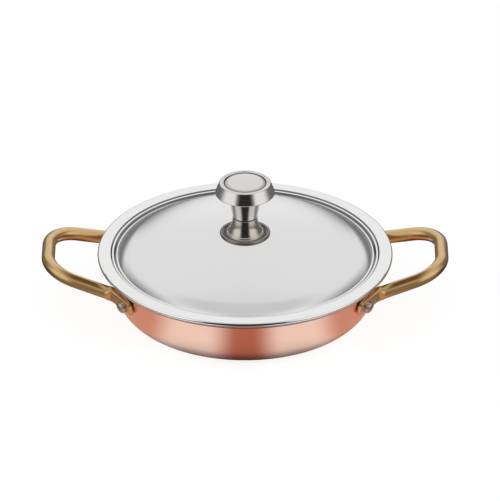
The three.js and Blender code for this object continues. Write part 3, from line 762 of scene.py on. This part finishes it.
def makeRing():
    # Close to the pan the card is dark and warm in front, where the pan's own reflection lies on the
    # table, pale to both sides of that, warm again beyond, and pale in two bands behind. Outside that it
    # is brown, from closer by below the handles, and far out it is dark in front and grey behind. It is
    # shaded towards the pan's base.
    material, tree = newMaterial("tableRing")
    across, back, _, turn = objectPlace(tree)
    squares = calc(tree, "ADD", calc(tree, "POWER", across, 2.0), calc(tree, "POWER", back, 2.0))
    radius = calc(tree, "SQRT", squares)
    close = mixed(tree, ease(tree, turn, *ring["litStart"]), ring["front"], ring["lit"])
    close = mixed(tree, ease(tree, turn, *ring["sideStart"]), close, ring["side"])
    close = mixed(tree, band(tree, turn, ring["rearStart"], ring["rearEnd"]), close, ring["rear"])
    beside = band(tree, turn, ring["besideStart"], ring["besideEnd"])
    brown = mixed(tree, beside, ring["brown"], ring["brownLit"])
    dark = mixed(tree, beside, ring["dark"], ring["darkLit"])
    far = mixed(tree, ease(tree, turn, *ring["farStart"]), dark, ring["far"])
    handles = product(
        tree, ease(tree, turn, *ring["handleStart"]), ease(tree, radius, *ring["handleFrom"]))
    outside = calc(tree, "MAXIMUM", handles, ease(tree, radius, *ring["brownFrom"]))
    colour = mixed(tree, outside, close, brown)
    colour = mixed(tree, ease(tree, radius, *ring["farFrom"]), colour, far)
    reach = calc(tree, "ADD", radius, ease(tree, turn, *ring["shadeTurn"], 0.0, ring["shadeShift"]))
    light = addNode(tree, "ShaderNodeEmission", {
        "Color": colour, "Strength": ease(tree, reach, *ring["shadeEnd"], ring["shade"], 1.0)})
    addNode(tree, "ShaderNodeOutputMaterial", {"Surface": light.outputs["Emission"]})
    angle = np.arange(ring["steps"]) * 2 * np.pi / ring["steps"]
    circle = np.stack([np.cos(angle), np.sin(angle), np.zeros(ring["steps"])], 1)
    points = np.concatenate([circle * ring["inner"], circle * ring["outer"]])
    points[:, 2] = ring["height"]
    near = np.arange(ring["steps"])
    after = np.roll(near, -1)
    faces = np.stack([near, near + ring["steps"], after + ring["steps"], after], 1)
    onlyForMetal(stageMesh("tableRing", points.tolist(), faces.tolist(), material))


# Light tent: places on it are shares of its radius, turns as on the ring
tent = {
    "radius": 1.0, "archSteps": 25, "steps": 96,
    "backStart": (-0.5, -0.38), "backHalfWidth": (0.38, 0.54), "corner": (-0.065, -0.015),
    "cornerSlope": 1.5, "wideStart": (0.24, 0.38), "wideHalfWidth": (0.48, 0.95),
    "dim": 0.93, "dimRise": (0.25, 0.48), "top": 0.78, "topRise": (0.8, 0.96),
    "panel": 1.03, "panelStart": (20, 46), "panelRear": 0.2, "panelEnd": (75, 112),
    "panelTop": 0.35, "panelFade": (0.6, 0.95),
    "rest": (0.03, 0.13), "restRun": (-0.6, 0.3), "restTop": 0.5, "restFade": (0.5, 0.75),
    "high": 0.5, "highStart": (-0.3, -0.55), "highRise": (0.1, 0.35),
}


def makeTent():
    # Dome of white cloth. A backdrop stands bright behind the pan, its lower corners cut on a slant, and
    # widens overhead. Each front side holds a bright panel. The rest is dark, and grey high up in front.
    material, tree = newMaterial("lightTent")
    across, back, up, turn = objectPlace(tree)
    slant = calc(tree, "SUBTRACT", up, calc(tree, "MULTIPLY", across, tent["cornerSlope"]))
    cloth = product(
        tree, ease(tree, slant, *tent["corner"]), ease(tree, across, *tent["backHalfWidth"], 1.0, 0.0))
    wide = product(
        tree, ease(tree, up, *tent["wideStart"]), ease(tree, across, *tent["wideHalfWidth"], 1.0, 0.0))
    behind = product(
        tree, ease(tree, up, *tent["dimRise"], 1.0, tent["dim"]),
        ease(tree, up, *tent["topRise"], 1.0, tent["top"]),
        calc(tree, "MAXIMUM", cloth, wide), ease(tree, back, *tent["backStart"]))
    panel = product(
        tree, ease(tree, turn, *tent["panelStart"], 0.0, tent["panel"]),
        ease(tree, turn, *tent["panelEnd"], 1.0, tent["panelRear"]),
        ease(tree, up, *tent["panelFade"], 1.0, tent["panelTop"]))
    rest = product(
        tree, ease(tree, back, *tent["restRun"], *tent["rest"]),
        ease(tree, up, *tent["restFade"], 1.0, tent["restTop"]))
    high = product(
        tree, ease(tree, back, *tent["highStart"]), ease(tree, up, *tent["highRise"], 0.0, tent["high"]))
    bright = calc(tree, "MAXIMUM", behind, panel)
    level = calc(tree, "MAXIMUM", bright, calc(tree, "MAXIMUM", rest, high))
    light = addNode(tree, "ShaderNodeEmission", {"Strength": level})
    addNode(tree, "ShaderNodeOutputMaterial", {"Surface": light.outputs["Emission"]})
    arc = np.linspace(0, np.pi / 2, tent["archSteps"])
    arch = np.stack([np.cos(arc), np.sin(arc)], 1)
    arch[-1, 0] = 0
    shape = turned((arch, arch), tent["steps"])
    points = shape["points"] * tent["radius"]
    onlyForMetal(stageMesh("lightTent", points.tolist(), shape["faces"], material))


# Small cards close to the metal, in millimetres. A reach, start or end runs from one value to the other.
flags = {
    "colour": "302f2e",
    "cards": {
        "capFlag": {
            "distance": 24, "heights": (77, 93), "width": 24, "reach": (12, 13), "end": (5, 12)},
        "neckFlag": {
            "distance": 12.3, "heights": (54.5, 73), "width": 13, "reach": (7.5, 8.5), "end": (2.5, 6.5)},
        "hemFlag": {
            "distance": 96, "heights": (34, 47), "width": 60, "reach": (10, 11)},
    },
    "legColour": "6e5a38",
    "leg": {
        "stretch": (0, 46), "lift": 11, "width": 18, "reach": (9, 13),
        "start": (85, 91), "end": (104, 121)},
}


def makeFlag(name, corners, flag, colour):
    # Dark card that shows only within its reach: what is further off looks through it. Its start and its
    # end lie that far to either side, and are soft.
    material, tree = newMaterial(name)
    path = addNode(tree, "ShaderNodeLightPath")
    length = calc(tree, "DIVIDE", path.outputs["Ray Length"], mm)
    dark = addNode(tree, "ShaderNodeEmission", {"Color": linear(colour)})
    clear = addNode(tree, "ShaderNodeBsdfTransparent")
    solid = ease(tree, length, *flag["reach"], 1.0, 0.0)
    for edge, levels in [("start", (0.0, 1.0)), ("end", (1.0, 0.0))]:
        if edge in flag:
            across = calc(tree, "DIVIDE", objectPlace(tree)[0], mm)
            solid = product(tree, solid, ease(tree, across, *flag[edge], *levels))
    card = addNode(tree, "ShaderNodeMixShader", {
        0: solid, 1: clear.outputs["BSDF"], 2: dark.outputs["Emission"]})
    addNode(tree, "ShaderNodeOutputMaterial", {"Surface": card.outputs["Shader"]})
    onlyForMetal(stageMesh(name, (np.array(corners) * mm).tolist(), [(0, 1, 2, 3)], material))


def makeFlags():
    # Black cards upright in front of the knob's cap, its neck and the lid's hem, which get a dark stripe
    # from them, and a brown one lying over each front leg
    for name, flag in flags["cards"].items():
        low, high = flag["heights"]
        side, front = flag["width"] / 2, -flag["distance"]
        corners = [(-side, front, low), (side, front, low), (side, front, high), (-side, front, high)]
        makeFlag(name, corners, flag, flags["colour"])
    leg = flags["leg"]
    heading = unit(barCorner - root)
    aside = unit(np.cross((0, 0, 1), heading)) * leg["width"] / 2
    start, end = (root + heading * along + (0, 0, leg["lift"]) for along in leg["stretch"])
    for name, way in [("legFlagLeft", -1), ("legFlagRight", 1)]:
        corners = np.array([start - aside, start + aside, end + aside, end - aside]) * (way, -1, 1)
        makeFlag(name, corners, leg, flags["legColour"])


def makeLamps():
    for name, side in [("lampLeft", -1), ("lampRight", 1)]:
        lamp = bpy.data.lights.new(name, "AREA")
        lamp.shape = "RECTANGLE"
        lamp.size, lamp.size_y = studio["lampSize"]
        lamp.energy = studio["lampLevel"] * np.pi * lamp.size * lamp.size_y  # the same level for any size
        turn = np.radians(studio["lampAzimuth"]) * side
        placed = bpy.data.objects.new(name, lamp)
        reach = studio["lampDistance"]
        placed.location = (reach * np.sin(turn), -reach * np.cos(turn), studio["lampHeight"])
        placed.rotation_euler = (np.pi / 2, 0, turn)
        placed.visible_camera = False
        placed.visible_glossy = False
        bpy.context.scene.collection.objects.link(placed)


def makeWorld():  # white to the camera and the metal, dim fill for the table
    world = bpy.data.worlds.new("studio")
    world.use_nodes = True
    tree = world.node_tree
    tree.nodes.clear()
    level = addNode(tree, "ShaderNodeMapRange", {
        "Value": seenDirectly(tree), "To Min": studio["worldGlow"], "To Max": 1.0}).outputs["Result"]
    light = addNode(tree, "ShaderNodeBackground", {"Strength": level, "Color": (1.0, 1.0, 1.0, 1.0)})
    addNode(tree, "ShaderNodeOutputWorld", {"Surface": light.outputs["Background"]})
    bpy.context.scene.world = world


makeCamera()
makeFloor()
makeRing()
makeTent()
makeFlags()
makeLamps()
makeWorld()
bpy.context.scene.view_settings.view_transform = "Standard"
print("studio made")
